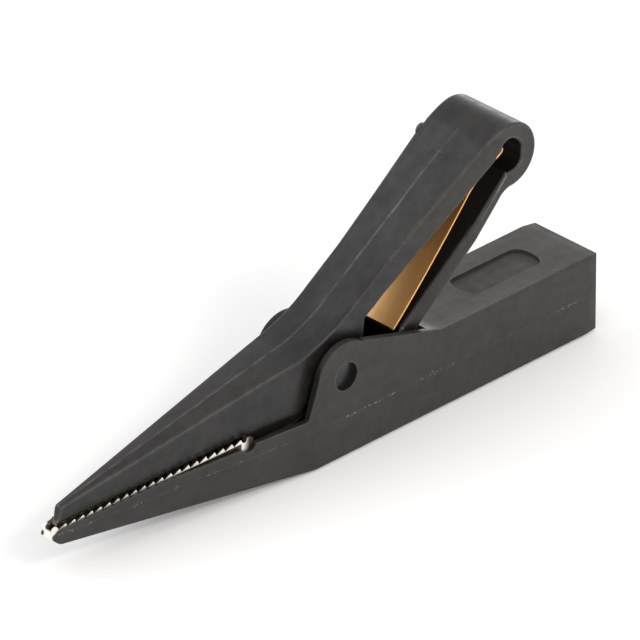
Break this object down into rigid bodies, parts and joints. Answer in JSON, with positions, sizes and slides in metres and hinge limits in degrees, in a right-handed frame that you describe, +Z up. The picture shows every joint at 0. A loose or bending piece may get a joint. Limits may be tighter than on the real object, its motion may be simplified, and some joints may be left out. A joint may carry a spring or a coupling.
{
  "type": "crocodile clip",
  "caption": "Fully insulated crocodile clip: a sprung lever with a toothed jaw turns on a black housing that has a plug socket in its tail.",
  "frame": {"origin": "on the flat underside, straight below the pivot axis and midway across", "axes": "+X from the jaw tips towards the tail along the plug socket, +Z up from the underside, Y across the clip along the pivot axis"},
  "size_m": [0.0666, 0.0084, 0.0261],
  "materials": {
    "housing_plastic": "satin moulded, black",
    "lever_plastic": "satin moulded, black",
    "spring_bronze": "rolled bronze strip",
    "plated_sheet": "nickel plated",
    "turned_brass": "turned",
    "black_pin": "black, cut end"
  },
  "bodies": {
    "base": {"housing": "housing_plastic", "lower_jaw": "plated_sheet", "socket_sleeve": "turned_brass", "pivot_pin": "black_pin"},
    "lever": {"lever": "lever_plastic", "upper_jaw": "plated_sheet", "leaf_spring": "spring_bronze"},
    "arm": {"loop_arm": "lever_plastic"}
  },
  "joints": [
    {"name": "jaw_pivot", "type": "hinge", "parent": "base", "child": "lever", "pos_m": [0, 0, 0.0083], "axis": [0, 1, 0], "range_deg": [0, 16], "stiffness_Nm_per_rad": 0.3, "springref_deg": -20.05},
    {"name": "arm_flex", "type": "hinge", "parent": "lever", "child": "arm", "pos_m": [0.02145, 0, 0.02282], "axis": [0, 1, 0], "range_deg": [0, 8], "deforming": ["leaf_spring"]}
  ],
  "couplings": [
    {"joint": "arm_flex", "follows": "jaw_pivot", "ratio": 0.5}
  ]
}
